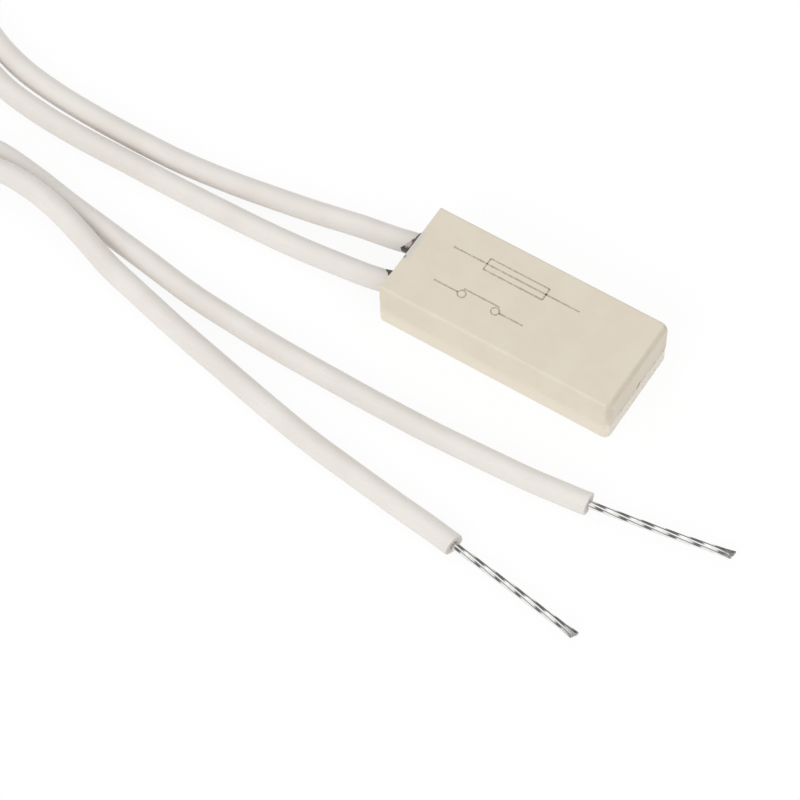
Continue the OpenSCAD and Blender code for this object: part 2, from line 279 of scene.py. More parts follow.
caseLook = {
    "roughness": 0.52,
    "cream": rgb(0.720, 0.652, 0.535),
    "creamPale": rgb(0.748, 0.686, 0.574),
    "creamWarm": rgb(0.702, 0.624, 0.507),
    "evened": 0.55,  # share of plain cream over the cloudy one
    "creamLow": rgb(0.785, 0.720, 0.602), "lowShare": 0.9,  # the lower half is paler
    "partAt": 1.9,
    "fleckAndEdgeShade": rgb(0.53, 0.47, 0.378),  # dark flecks, and painted shade along the closed end's rounded edges
    "edgeShade": 0.62,
    "noseAt": (10.08, 4.42), "noseWide": 0.34,  # X and Z of the painted shade on the rounded edge over the closed end
    "cornerAt": (10.06, -4.26), "cornerWide": 0.42,  # X and Y of the painted shade down the corner at the front
    "endAt": 9.98,  # X where the closed end's face begins
    "grimeAndShade": rgb(0.24, 0.19, 0.15), "grimeAndShadeShare": 0.8,  # grime and painted shade along the torn parting line, and painted shade in the sunk gate mark
    "darkLineWide": 0.32, "darkLineFrom": -3.6,  # to each side of the line, and the Y where it begins
    "flushed": rgb(0.66, 0.565, 0.495), "flushedShare": 0.4, "flushedWide": 0.55,  # soft stain beside it
    "speck": rgb(0.88, 0.835, 0.765), "speckShare": 0.65, "pitShare": 0.3,
    "gateAt": (0.03, 1.93), "gateWide": 0.5, "gateTo": 10.2,  # Y and Z, radius, and sunk below this X
    "rimTop": 4.2,  # Z from which the rim is soiled
    "smear": rgb(0.575, 0.57, 0.57), "smearShare": 0.6,  # resin wiped over the rim between the leads
    "smearAt": (-9.84, 0.3), "smearWide": 1.75,  # X and Y
    "stain": rgb(0.17, 0.15, 0.145), "stainShare": 0.7,
    "stainAt": (-10.3, -1.0), "stainWide": 0.3,  # X and Y
}


def makeCaseFinish(look):
    material, start, place = newFinish("cream_moulding")
    x, y, z = place.parts()
    part = look["partAt"]
    cloud = place.grain(0.35, 3, 0.55)
    fleck = place.grain(14, 2, 0.6)
    base = cloud.rise(0.35, 0.65).tint(look["creamWarm"], look["creamPale"])
    base = start.add("Mix", {"data_type": "RGBA"}, {0: look["evened"], 6: base, 7: look["cream"]}, out=2)
    base = ((part + 0.45 - z).rise(0, 1.5) * look["lowShare"]).tint(base, look["creamLow"])
    base = (fleck.rise(0.62, 0.78) * 0.25).tint(base, look["fleckAndEdgeShade"])
    # painted shade along the rounded edge over the closed end, and down the corner beside it
    patchy = 0.78 + 0.22 * place.grain(2.2, 3).rise(0.35, 0.6)
    nose = (look["noseWide"] - x.away(look["noseAt"][0], z, look["noseAt"][1])).rise(0, 0.26)
    corner = (look["cornerWide"] - x.away(look["cornerAt"][0], y, look["cornerAt"][1])).rise(0, 0.3)
    corner = corner * (z - 1.5).rise(0, 1.6)
    # painted shade on the rounded edges, in the edge shade colour
    base = (nose.most(corner * 0.9) * patchy * look["edgeShade"]).tint(base, look["fleckAndEdgeShade"])
    # the closed end's parting line is torn, darkened with grime and with painted shade under its lip, with
    # pale specks below it; the sunk gate mark gets painted shade
    end = (x - look["endAt"]).rise(0, 0.06)
    tear = place.stretched(1, 3.1, 6.5).grain(1, 3, 0.6)
    wander = 0.16 * (place.stretched(0, 1.3, 0).grain(1, 2) - 0.5)
    line = (look["darkLineWide"] - (z - part - 0.1 + wander).size()).rise(0, 0.2) * tear.rise(0.4, 0.58)
    dashes = place.stretched(0, 2.1, 0).grain(1, 2).rise(0.44, 0.56) * (y - look["darkLineFrom"]).rise(0, 0.6)
    # painted shade in the sunk gate mark
    gate = look["gateWide"] - y.away(look["gateAt"][0], z, look["gateAt"][1])
    gate = (gate + 0.1 * (fleck - 0.5)).rise(0, 0.08) * (look["gateTo"] - x).rise(0, 0.05)
    bits = place.stretched(1, 5.5, 7).grain(1, 2, 0.65)
    below = (part - z).rise(-0.04, 0.04)
    base = (end * below * bits.rise(0.42, 0.54) * look["speckShare"]).tint(base, look["speck"])
    base = (end * below * (1 - bits.rise(0.34, 0.44)) * look["pitShare"]).tint(base, look["grimeAndShade"])
    soft = (look["flushedWide"] - (z - part - 0.15).size()).rise(0, 0.4)
    soft = soft * place.stretched(1, 1.4, 2.5).grain(1, 2).rise(0.4, 0.6)
    base = (end * soft * look["flushedShare"]).tint(base, look["flushed"])
    # grime and painted shade along the torn line, and painted shade in the gate mark
    base = (end * (line * dashes * 0.75).most(gate) * look["grimeAndShadeShare"]).tint(base, look["grimeAndShade"])
    # resin wiped over the rim between the leads, and a dark spot of it
    atRim = (z - look["rimTop"]).rise(0, 0.2)
    smear = (look["smearAt"][0] - x + 0.5 * place.grain(1.8, 3)).rise(0.12, 0.5)
    smear = smear * (look["smearWide"] - (y - look["smearAt"][1]).size()).rise(0, 0.7)
    base = (smear * atRim * look["smearShare"]).tint(base, look["smear"])
    stain = look["stainWide"] - x.away(look["stainAt"][0], y, look["stainAt"][1])
    stain = (stain + 0.3 * (fleck - 0.5)).rise(0.05, 0.2)
    base = (stain * atRim * look["stainShare"]).tint(base, look["stain"])
    rough = look["roughness"] + 0.12 * (place.grain(1.6, 3) - 0.5) + 0.1 * fleck
    skin = place.grain(9, 3, 0.6) * 0.7 + place.grain(32, 2) * 0.3 + end * below * bits * 1.5
    close(start, Base_Color=base, Roughness=rough, Normal=skin.bump(0.012, 0.6), IOR=1.5)
    return material


leadLook = {
    "white": rgb(0.738, 0.698, 0.654),
    "pale": rgb(0.768, 0.733, 0.692),
    "dull": rgb(0.652, 0.617, 0.574),
    "cut": rgb(0.36, 0.315, 0.285),  # painted shade on the cut end, deepening towards the bore
    "roughness": 0.42,
}


def makeLeadFinish(look):
    material, start, place = newFinish("lead_white")
    along, angle = markOn(start, "runLength"), markOn(start, "runAngle")
    run = start.add("CombineXYZ", None, {"X": along * 0.05, "Y": angle * 3.0, "Z": 0.0})
    streak = run.grain(6, 3, 0.6)
    cloud = place.grain(0.22, 3)
    base = cloud.rise(0.35, 0.65).tint(look["white"], look["pale"])
    base = (streak.rise(0.52, 0.75) * 0.4).tint(base, look["dull"])
    base = (place.grain(5, 2).rise(0.66, 0.8) * 0.5).tint(base, look["dull"])
    # painted shade on the cut end, darker towards the bore
    base = (markOn(start, "cutFace") * (0.3 + 0.6 * place.grain(4, 2))).tint(base, look["cut"])
    rough = look["roughness"] + 0.18 * (streak - 0.5) + 0.08 * (cloud - 0.5)
    skin = (streak * 0.6 + place.grain(16, 2) * 0.4).bump(0.008, 0.5)
    close(start, Base_Color=base, Roughness=rough, Normal=skin, IOR=1.45)
    return material


wireLook = {
    "tin": rgb(0.84, 0.835, 0.82),
    "grey": rgb(0.56, 0.55, 0.54),
    "bruised": rgb(0.27, 0.262, 0.25),  # the tip, where the cutter squeezed it
    "roughness": 0.13,
}


def makeWireFinish(look):
    material, start, place = newFinish("tinned_wire")
    cloud = place.grain(3, 3, 0.6)
    speck = place.grain(22, 2, 0.6)
    base = (cloud.rise(0.5, 0.75) * 0.35 + speck.rise(0.62, 0.8) * 0.3).tint(look["tin"], look["grey"])
    tip = markOn(start, "tipWear")
    base = (tip * (0.35 + 0.65 * place.grain(9, 3).rise(0.36, 0.56))).tint(base, look["bruised"])
    rough = look["roughness"] + 0.1 * cloud + 0.1 * speck.rise(0.55, 0.8) + 0.3 * tip
    skin = (cloud * 0.6 + speck * 0.4).bump(0.004, 0.4)
    close(start, Base_Color=base, Roughness=rough, Metallic=1.0, Normal=skin)
    return material


resinLook = {
    "dark": rgb(0.066, 0.054, 0.051),
    "brown": rgb(0.120, 0.082, 0.072),
    "thin": rgb(0.330, 0.270, 0.255),
    "bare": rgb(0.540, 0.455, 0.440),  # painted highlight on the resin over lead 1
    "highlightAt": (-11.45, 1.42, 2.34), "highlightWide": 0.44,
    "roughness": 0.32,
}


def makeResinFinish(look):
    material, start, place = newFinish("potting_resin")
    cloud = place.grain(1.7, 3, 0.6)
    fine = place.grain(7, 3, 0.6)
    base = cloud.rise(0.4, 0.66).tint(look["dark"], look["brown"])
    base = (fine.rise(0.6, 0.75) * cloud.rise(0.45, 0.6) * 0.7).tint(base, look["thin"])
    # painted highlight on the resin over lead 1
    off = start.add("VectorMath", {"operation": "DISTANCE"}, {0: place, 1: look["highlightAt"]}, out="Value")
    base = (look["highlightWide"] - off + 0.3 * (fine - 0.5)).rise(0, 0.22).tint(base, look["bare"])
    rough = look["roughness"] + 0.3 * (fine - 0.4)
    skin = (cloud * 0.5 + fine * 0.5).bump(0.03, 0.6)
    close(start, Base_Color=base, Roughness=rough, Normal=skin, IOR=1.55)
    return material


metalLooks = {  # lines: how fine the rolling lines are along, across and through the strip
    "terminal_brass": {
        "light": rgb(0.80, 0.62, 0.33), "deep": rgb(0.60, 0.42, 0.20),
        "roughness": 0.28, "lines": (0.6, 22, 22),
    },
    "bimetal": {
        "light": rgb(0.68, 0.64, 0.58), "deep": rgb(0.45, 0.40, 0.34),
        "roughness": 0.32, "lines": (0.5, 26, 26),
    },
    "contact_silver": {
        "light": rgb(0.88, 0.87, 0.84), "deep": rgb(0.62, 0.60, 0.55),
        "roughness": 0.22, "lines": (9, 9, 9),
    },
}


def makeStripFinish(name, look):
    material, start, place = newFinish(name)
    lines = place.stretched(*look["lines"]).grain(1, 3, 0.6)
    stain = place.grain(0.9, 3, 0.6)
    base = (lines.rise(0.4, 0.7) * 0.45 + stain.rise(0.5, 0.75) * 0.4).tint(look["light"], look["deep"])
    rough = look["roughness"] + 0.2 * (lines - 0.5) + 0.12 * stain
    close(start, Base_Color=base, Roughness=rough, Metallic=1.0, Normal=lines.bump(0.008, 0.6))
    return material


carrierLook = {
    "brown": rgb(0.130, 0.060, 0.035),
    "dark": rgb(0.060, 0.030, 0.020),
    "fibre": rgb(0.26, 0.15, 0.09),
    "roughness": 0.5,
}


def makeCarrierFinish(look):
    material, start, place = newFinish("brown_compound")
    cloud = place.grain(1.1, 4, 0.6)
    fibre = place.stretched(4, 14, 14).grain(1, 2, 0.5)
    base = cloud.rise(0.35, 0.65).tint(look["brown"], look["dark"])
    base = (fibre.rise(0.62, 0.74) * 0.6).tint(base, look["fibre"])
    rough = look["roughness"] + 0.2 * (cloud - 0.5)
    close(start, Base_Color=base, Roughness=rough, Normal=fibre.bump(0.01, 0.5))
    return material


etchLook = {"burnt": rgb(0.395, 0.348, 0.286), "faint": rgb(0.575, 0.522, 0.437), "roughness": 0.62}


def makeEtchFinish(look):
    material, start, place = newFinish("etched_line")
    dots = place.grain(7, 2, 0.6)
    base = dots.rise(0.42, 0.68).tint(look["burnt"], look["faint"])
    rough = look["roughness"] + 0.2 * dots
    close(start, Base_Color=base, Roughness=rough, Normal=dots.bump(0.01, 0.6))
    return material


caseFinish = makeCaseFinish(caseLook)
leadFinish = makeLeadFinish(leadLook)
wireFinish = makeWireFinish(wireLook)
resinFinish = makeResinFinish(resinLook)
etchFinish = makeEtchFinish(etchLook)
innerFinishes = {slot: makeStripFinish(slot, look) for slot, look in metalLooks.items()}
innerFinishes["carrier_plastic"] = makeCarrierFinish(carrierLook)
print("finishes made")

# the parts inside the case keep their CAD shapes
innerParts = {
    "contact_carrier": "carrier_plastic",
    "fixed_terminal": "terminal_brass",
    "arm_terminal": "terminal_brass",
    "bimetal_leaf": "bimetal",
    "fixed_contact": "contact_silver",
    "moving_contact": "contact_silver",
}
for name, slot in innerParts.items():
    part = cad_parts[name]
    part.data.materials.clear()
    part.data.materials.append(innerFinishes[slot])
print("inner parts dressed:", len(innerParts))


# leads

leadSet = {
    "diameter": 1.85,
    "bore": 0.67,
    "pitch": 4.16,
    "mouth": -10.3,  # X of the case's mouth
    "height": 1.65,  # Z of both leads in the mouth
    "gripped": 2.5,  # length inside the resin
    "straight": 0.5,  # length outside it before the lead bends
    "sides": 32,
    "step": 0.45,
    "innerStep": 1.4,
    "cutRound": 0.08, "boreEdge": 0.03,
    "cutReach": 0.5,  # length at the end that the knife pushed about
    "cutOut": 0.1,
    "cutSlant": 0.09,  # how much further the cut stands out on the far side
    "cutRough": 0.06,
    "wander": 0.012, "wanderScale": 0.45,  # unevenness of the skin
    "pathCount": 320,
}

# distance from the mouth, place across, and height above lying flat
leadRuns = {
    "lead_1": {"side": 1, "run": [
        (-2.4, 1.75, 0.64), (-5.5, 1.4, 0.38), (-9, 0.85, 0.1), (-13, 0.2, 0), (-17, -0.4, 0),
        (-21, -0.8, 0), (-25, -0.9, 0), (-29, -0.85, 0), (-33, -0.6, 0), (-36.5, -0.1, 0),
        (-39.5, 0.8, 0), (-42.5, 2.1, 0), (-46, 3.1, 0), (-49.7, 2.7, 0), (-52.8, 0.7, 0),
        (-54.8, -2.4, 0), (-55.3, -6, 0), (-54.2, -9.5, 0), (-51.7, -12.2, 0), (-48.3, -13.7, 0),
        (-44.6, -13.6, 0), (-41.2, -12.2, 0), (-38, -10.9, 0.4), (-34.5, -10.1, 1), (-31, -9.8, 1.3),
        (-27, -10.3, 1.3), (-23.5, -11.2, 0.9), (-20, -12.3, 0.4), (-16.5, -13.1, 0.1), (-12, -14.2, 0),
        (-7.5, -15.2, 0), (-3, -16.2, 0), (1.5, -17.1, 0), (6, -17.75, 0), (10.5, -18.35, 0),
        (13.2, -18.67, 0), (15.2, -18.94, 0), (15.7, -19.015, 0),
    ]},
    "lead_2": {"side": -1, "run": [
        (-2.4, -2.37, 0.62), (-5.5, -2.6, 0.36), (-9, -2.8, 0.1), (-13, -2.95, 0), (-17, -3.05, 0),
        (-21, -3.1, 0), (-25, -3.1, 0), (-29, -3.1, 0), (-33, -2.9, 0), (-37, -2.3, 0),
        (-40.5, -1.1, 0), (-43.6, 0.3, 0), (-46.8, 1.1, 0), (-50, 0.3, 0), (-52.4, -2.1, 0),
        (-53.2, -5.3, 0), (-52.4, -8.5, 0), (-50, -10.9, 0), (-46.8, -11.7, 0), (-43.6, -10.9, 0),
        (-40.5, -9.3, 0), (-37.5, -8.2, 0), (-34, -7.8, 0), (-30, -8.2, 0), (-26, -8.9, 0),
        (-22, -9.5, 0), (-18, -10.1, 0), (-13.5, -10.8, 0), (-9, -11.2, 0), (-4.5, -11.45, 0),
        (0, -11.55, 0), (4.5, -11.6, 0), (9, -11.55, 0), (13.5, -11.35, 0), (18, -11.08, 0),
        (20.2, -10.84, 0), (21.9, -10.655, 0), (22.4, -10.57, 0),
    ]},
}


def leadLine(s, lead):
    y = lead["side"] * s["pitch"] / 2
    lie = s["diameter"] / 2
    start = [(s["mouth"] + s["gripped"], y, s["height"]), (s["mouth"] - s["straight"], y, s["height"])]
    return smoothLine(start + [(s["mouth"] + p[0], p[1], lie + p[2]) for p in lead["run"]])


def makeLead(name, s, line):
    length = lengthsAlong(line)[-1]
    outer, bore = s["diameter"] / 2, s["bore"] / 2
    turn = np.linspace(0, 2 * math.pi, s["sides"], endpoint=False)
    # rings run out along the skin, round the cut, and back through the bore
    out = np.linspace(0, length - s["cutRound"], round(length / s["step"]))
    bend = np.radians(np.linspace(15, 90, 6))
    flat = np.linspace(outer - s["cutRound"], bore + s["boreEdge"], 5)[1:]
    home = np.linspace(length - s["boreEdge"], 0, round(length / s["innerStep"]))
    places = np.concatenate([
        out, length - s["cutRound"] * (1 - np.sin(bend)), np.full(len(flat), length), home,
    ])
    radii = np.concatenate([
        np.full(len(out), outer), outer - s["cutRound"] * (1 - np.cos(bend)), flat,
        np.full(len(home), bore),
    ])
    centres = pointsAt(line, places)
    along = pointsAt(line, places, np.gradient(line, axis=0))
    outlines = radii[:, None, None] * np.stack([np.cos(turn), np.sin(turn)], axis=-1)[None]
    points = sweep(centres, along, outlines)
    # a knife cut isn't quite flat, and a drawn skin isn't quite even
    for i, (place, radius) in enumerate(zip(places, radii)):
        if radius <= bore + 0.001:  # the bore stays round
            continue
        for j in range(s["sides"]):
            spot = Vector(points[i, j] * s["wanderScale"])
            push = (points[i, j] - centres[i]) / radius
            points[i, j] += push * s["wander"] * (clouds.noise(spot) - 0.3)
            nearCut = part01(1 - (length - place) / s["cutReach"])
            if nearCut > 0:
                lean = s["cutOut"] + s["cutSlant"] * radius / outer * math.cos(turn[j])
                lean += s["cutRough"] * clouds.noise(spot * 4)
                points[i, j] += along[i] / np.linalg.norm(along[i]) * nearCut * lean
    sides, rings = s["sides"], len(places)
    faces = ringFaces(rings, sides)
    last = (rings - 1) * sides
    faces += [(last + j, last + (j + 1) % sides, (j + 1) % sides, j) for j in range(sides)]
    points[..., 2] = np.maximum(points[..., 2], 0)
    piece = addPiece(
        name + "_skin", points.reshape(-1, 3), faces, leadFinish, [name + "_insulation"]
    )
    bared = np.clip((outer - radii) / (outer - bore), 0, 1) ** 0.5  # how far in on the cut face
    marks = {
        "runLength": np.repeat(places, sides),
        "runAngle": np.tile(np.sin(turn), rings),
        "cutFace": np.repeat(bared, sides),
    }
    for mark, values in marks.items():
        setMark(piece, mark, values)
    return piece


wireSet = {
    "radius": 0.311,  # seven strands of 0.21, filled up with tin
    "rib": 0.038,  # how far the strands still show through, as a share of it
    "lay": 11.75,
    "bare": {"lead_1": 11.75, "lead_2": 11.6},
    "bow": {"lead_1": 0.03, "lead_2": -0.1},  # sideways, half way along the bare length
    "tipTurn": {"lead_1": 0.514, "lead_2": 0.333},
    "inner": -5.6,  # X of the end in the crimp
    "perStrand": 12,
    "step": 0.11, "stepFrom": 0.5,  # between rings, from this far inside the insulation
    "hiddenStep": 1.1, "hiddenTo": 0.6,
    "pinch": 0.36,  # how flat the cutter left the tip
    "pinchLong": 1.1,
    "pinchWide": 0.12,  # how much wider it got
    "slant": 0.12, "slantLong": 0.35, "slantOver": 0.315,  # of the cut, over this length and half width
    "jagged": 0.012,
    "cutFace": ((0.88, 0.0), (0.6, -0.01), (0.3, -0.02)),  # rings on the cut: share of its size, and dent
    "cutDent": 0.02,
}


def strandOutline(s):
    turn = np.linspace(0, 2 * math.pi, 6 * s["perStrand"], endpoint=False)
    return turn, s["radius"] * (1 + s["rib"] * np.cos(6 * turn))


def makeWire(name, s, line):
    bare = s["bare"][name]
    along = line[-1] - line[-2]
    along /= np.linalg.norm(along)
    inner = line[0] + np.array([s["inner"] - line[0][0], 0, 0])
    full = np.concatenate([[inner], line, [line[-1] + along * bare]])
    cut = np.linalg.norm(inner - line[0]) + lengthsAlong(line)[-1]  # where the insulation ends
    end = cut + bare
    places = np.concatenate([
        np.arange(0, cut - s["hiddenTo"], s["hiddenStep"]),
        np.arange(cut - s["stepFrom"], end - 0.02, s["step"]),
        [end],
    ])
    centres = pointsAt(full, places)
    bent = np.sin(np.clip((places - cut) / bare, 0, 1) * math.pi) * s["bow"][name]
    centres += bent[:, None] * np.cross([0, 0, 1], along)
    heading = np.gradient(centres, places, axis=0)
    turn, out = strandOutline(s)
    twist = 2 * math.pi * (places - cut) / s["lay"]
    angle = turn[None] + twist[:, None] + s["tipTurn"][name]
    outlines = out[None, :, None] * np.stack([np.cos(angle), np.sin(angle)], axis=-1)
    # squeezed between two flats, which close from well clear of it
    near = np.clip(1 - (end - places) / s["pinchLong"], 0, 1)
    toTip = (near * near * (3 - 2 * near))[:, None]
    clear = 3  # radii
    most = s["radius"] * (clear - (clear - 1 + s["pinch"]) * toTip)
    outlines[..., 1] /= (1 + (outlines[..., 1] / most) ** 4) ** 0.25
    outlines[..., 0] *= 1 + s["pinchWide"] * toTip
    points = sweep(centres, heading, outlines)
    nearEnd = np.clip(1 - (end - places) / s["slantLong"], 0, 1)[:, None, None]
    ragged = outlines[..., :1] / s["slantOver"] * s["slant"]
    ragged = ragged - s["jagged"] * np.cos(turn * 6)[None, :, None]
    points += nearEnd * along * ragged
    count = len(turn)
    rings = [points.reshape(-1, 3)]
    for scale, dent in s["cutFace"]:
        rings.append(centres[-1] + (points[-1] - centres[-1]) * scale + along * dent)
    allPoints = np.concatenate(rings + [[centres[-1] - along * s["cutDent"]], [inner]])
    cutRings = len(s["cutFace"])
    ringCount = len(places) + cutRings
    faces = ringFaces(ringCount, count)
    last, tip, root = (ringCount - 1) * count, ringCount * count, ringCount * count + 1
    faces += [(last + j, last + (j + 1) % count, tip) for j in range(count)]
    faces += [((j + 1) % count, j, root) for j in range(count)]
    piece = addPiece(
        name + "_strands", allPoints, faces, wireFinish, [name + "_conductor"], sharpOver=50
    )
    worn = np.concatenate([np.repeat(near ** 0.7, count), np.ones(cutRings * count + 1), [0]])
    setMark(piece, "tipWear", worn)
    return piece


leadLines = {name: leadLine(leadSet, lead) for name, lead in leadRuns.items()}
skins = {name: makeLead(name, leadSet, leadLines[name]) for name in leadRuns}
wires = {name: makeWire(name, wireSet, leadLines[name]) for name in leadRuns}
print("leads laid:", {name: round(lengthsAlong(line)[-1], 2) for name, line in leadLines.items()})


# resin in the mouth

resinSet = {
    "wide": 7.58, "tall": 3.08, "back": -5.3, "middle": 2.25,
    "recess": 0.18,  # face of the fill behind the mouth
    "grid": 0.085,  # cell of the mesh that joins the lumps
    "rounds": 7,  # smoothing passes
    # climb along each lead, from the side that faces its neighbour round over the top
    "climb": {
        "lead_1": [
            (0, 1.80), (35, 1.60), (60, 1.22), (90, 0.90),
            (130, 0.78), (180, 0.5), (270, 0.62), (325, 1.2),
        ],
        "lead_2": [
            (0, 1.55), (35, 1.52), (60, 1.30), (90, 0.82),
            (130, 0.5), (180, 0.42), (270, 0.55), (325, 1.15),
        ],
    },
    "climbUneven": 0.07,
    "collarRows": 22, "collarColumns": 48,
    "sunk": 0.45,  # how deep a collar's foot stands in the fill
    "core": 0.4,  # where it closes inside the lead
    "film": 0.05,
    "foot": 0.62,
    "webAt": (0.25, 0, 1.75), "webHalf": (0.55, 1.7, 1.15),  # between the leads, from the mouth
    # welled out over the rim: place across and height, then half thickness, width and height
    "onRim": [
        (1.1, 4.2, 0.234, 0.68, 0.32),
        (0.45, 4.1, 0.225, 0.5, 0.34),
        (0.75, 3.78, 0.19, 1.25, 0.3),
        (1.3, 3.9, 0.19, 0.5, 0.4),
    ],
    "rimOut": 0.02,
    "ripple": 0.03, "rippleScale": 1.9, "rippleFrom": -9.3,  # from this X outward
    "highest": 4.47,
}


def lumpBox(x0, x1, wide, tall, middle):
    ends = [(y * wide / 2, middle + z * tall / 2) for y, z in ((-1, -1), (1, -1), (1, 1), (-1, 1))]
    points = [(x, y, z) for x in (x0, x1) for y, z in ends]
    return points, [(3, 2, 1, 0), (4, 5, 6, 7), (0, 1, 5, 4), (1, 2, 6, 5), (2, 3, 7, 6), (3, 0, 4, 7)]


def lumpBall(middle, radii, rows=12, columns=24):
    points = []
    for i in range(rows + 1):
        tilt = math.pi * i / rows
        for j in range(columns):
            turn = 2 * math.pi * j / columns
            way = (math.cos(tilt), math.sin(tilt) * math.cos(turn), math.sin(tilt) * math.sin(turn))
            points.append([m + r * w for m, r, w in zip(middle, radii, way)])
    return points, [f[::-1] for f in ringFaces(rows + 1, columns)]


def lumpCollar(s, line, side, climb):
    # resin drawn up a lead, with a hollow curve from its foot to its edge
    angles, heights = zip(*(climb + [(360 + climb[0][0], climb[0][1])]))
    nearMouth = slice(0, 20)
    mouthAt = np.interp(-leadSet["mouth"], -line[nearMouth, 0], lengthsAlong(line)[nearMouth])
    lead, rows, columns = leadSet["diameter"] / 2, s["collarRows"], s["collarColumns"]
    points = []
    for i in range(rows):
        up = i / (rows - 1)
        for j in range(columns):
            angle = 360 * j / columns
            turn = math.radians(angle)
            high = np.interp(angle, angles, heights)
            high += s["climbUneven"] * clouds.noise(Vector((j * 0.35, side, 0)))
            middle = pointsAt(line, [mouthAt - s["sunk"] + up * (high + s["sunk"])])[0]
            foot = s["foot"] * (1 - up) ** 2.2 * (0.75 + 0.25 * math.cos(turn))
            radius = lead + s["film"] * (1.1 - 0.7 * up) + foot
            points.append(middle + radius * np.array([0, -side * math.cos(turn), math.sin(turn)]))
    points += list(pointsAt(line, [mouthAt - s["sunk"], mouthAt + s["core"]]))
    low, high, last = rows * columns, rows * columns + 1, (rows - 1) * columns
    faces = ringFaces(rows, columns)
    faces += [((j + 1) % columns, j, low) for j in range(columns)]
    faces += [(last + j, last + (j + 1) % columns, high) for j in range(columns)]
    return points, faces if side < 0 else [f[::-1] for f in faces]


def biggestPart(points, faces):
    # leaves out loose specks, which joining can make
    group = list(range(len(points)))

    def headOf(k):
        while group[k] != k:
            group[k] = group[group[k]]
            k = group[k]
        return k

    for face in faces:
        for k in face[1:]:
            group[headOf(k)] = headOf(face[0])
    heads = [headOf(k) for k in range(len(points))]
    most = max(set(heads), key=heads.count)
    kept = {k: i for i, k in enumerate(k for k, head in enumerate(heads) if head == most)}
    return [points[k] for k in kept], [tuple(kept[k] for k in f) for f in faces if f[0] in kept]


def joinLumps(lumps, s):
    points, faces = [], []
    for somePoints, someFaces in lumps:
        faces += [tuple(len(points) + k for k in f) for f in someFaces]
        points += [tuple(p) for p in somePoints]
    mesh = bpy.data.meshes.new("lumps")
    mesh.from_pydata(points, [], faces)
    lump = putObject("lumps", mesh)
    remesh = lump.modifiers.new("join", "REMESH")
    remesh.mode, remesh.voxel_size = "VOXEL", s["grid"]
    smooth = lump.modifiers.new("soften", "SMOOTH")
    smooth.factor, smooth.iterations = 0.5, s["rounds"]
    shown = lump.evaluated_get(bpy.context.evaluated_depsgraph_get())
    joined = bpy.data.meshes.new_from_object(shown)
    points = [v.co.copy() for v in joined.vertices]
    faces = [tuple(p.vertices) for p in joined.polygons]
    bpy.data.objects.remove(lump)
    return biggestPart(points, faces)


def makeResin(s):
    mouth = leadSet["mouth"]
    lumps = [lumpBox(mouth + s["recess"], s["back"], s["wide"], s["tall"], s["middle"])]
    x, y, z = s["webAt"]
    lumps.append(lumpBall((mouth + x, y, z), s["webHalf"]))
    for y, z, *half in s["onRim"]:
        lumps.append(lumpBall((mouth - s["rimOut"], y, z), half))
    for name, lead in leadRuns.items():
        lumps.append(lumpCollar(s, leadLines[name], lead["side"], s["climb"][name]))
    points, faces = joinLumps(lumps, s)
    for p in points:
        p.x += s["ripple"] * clouds.noise(p * s["rippleScale"]) * part01(s["rippleFrom"] - p.x)
        p.z = min(p.z, s["highest"])
    return addPiece("resin_seal", points, faces, resinFinish, ["end_seal"], sharpOver=180)


resin = makeResin(resinSet)
print("resin poured:", len(resin.data.polygons), "faces")


# case

caseSet = {
    "length": 20.6, "width": 9.0, "height": 4.5,
    "sideWall": 0.7, "faceWall": 0.7, "endWall": 1.0,
    "cornerRound": 0.55, "noseRound": 0.5, "edgeRound": 0.2, "cavityRound": 0.4,
    "partAt": 1.9,
    "endStep": 0.08, "endStepHigh": 0.05,  # the lower half stands back at the closed end
    "sideStep": 0.045, "sideStepHigh": 0.03,  # the upper half stands in along the sides
    "gateWide": 0.8, "gateDeep": 0.18, "gateEdge": 0.09,
    "stubWide": 0.4, "stubEdge": 0.07,
    "flash": 0.075, "flashAt": -0.06, "flashHalf": 0.1,  # torn lip left where the mould closed
    "groove": 0.06, "grooveAt": 0.03, "grooveHalf": 0.07,  # both are placed from the parting line
    "grooveFrom": -3.6,  # Y where it begins
    "jag": 0.09,  # how far the torn line strays up and down
    "sunkTop": 0.006,  # room for the etched lines
    "rimChip": 0.035, "rimBreak": 0.06, "rimRagged": 0.02,
    "rimLean": 0.045, "rimLeanMost": 0.06,  # the mouth isn't cut square at its front side
    "rimFoot": 0.2,  # how far back its foot is there
    "acrossCount": 97, "alongCount": 56, "cornerCount": 11,
    "levelStep": 0.045, "levelLeast": 0.004,
}


def caseLevels(c):
    # heights of the rings, close together at edges, at the parting line and round the gate
    high, nose, edge, part = c["height"] - c["sunkTop"], c["noseRound"], c["edgeRound"], c["partAt"]
    edgeBends = [edge * (1 - math.sin(math.radians(a))) for a in range(0, 91, 15)]
    noseBends = [nose * (1 - math.sin(math.radians(a))) for a in range(0, 91, 9)]
    levels = edgeBends + [high - b for b in edgeBends + noseBends]
    for start, stop in ((-0.54, -0.04), (0.05, 0.55)):
        levels += list(np.arange(part + start, part + stop, c["levelStep"]))
    levels += list(np.linspace(edge, part - 0.6, 6)) + list(np.linspace(part + 0.6, high - nose, 8))
    levels += [part - 0.03, part - 0.012, part, part + 0.02]
    kept = []
    for level in sorted(levels):
        if not kept or level - kept[-1] > c["levelLeast"]:
            kept.append(level)
    kept[-1] = high
    return kept, high


def inset(depth, radius):
    # how far a rounded edge stands back at a depth below its face
    return radius - math.sqrt(max(0, radius ** 2 - (radius - depth) ** 2)) if depth < radius else 0.0


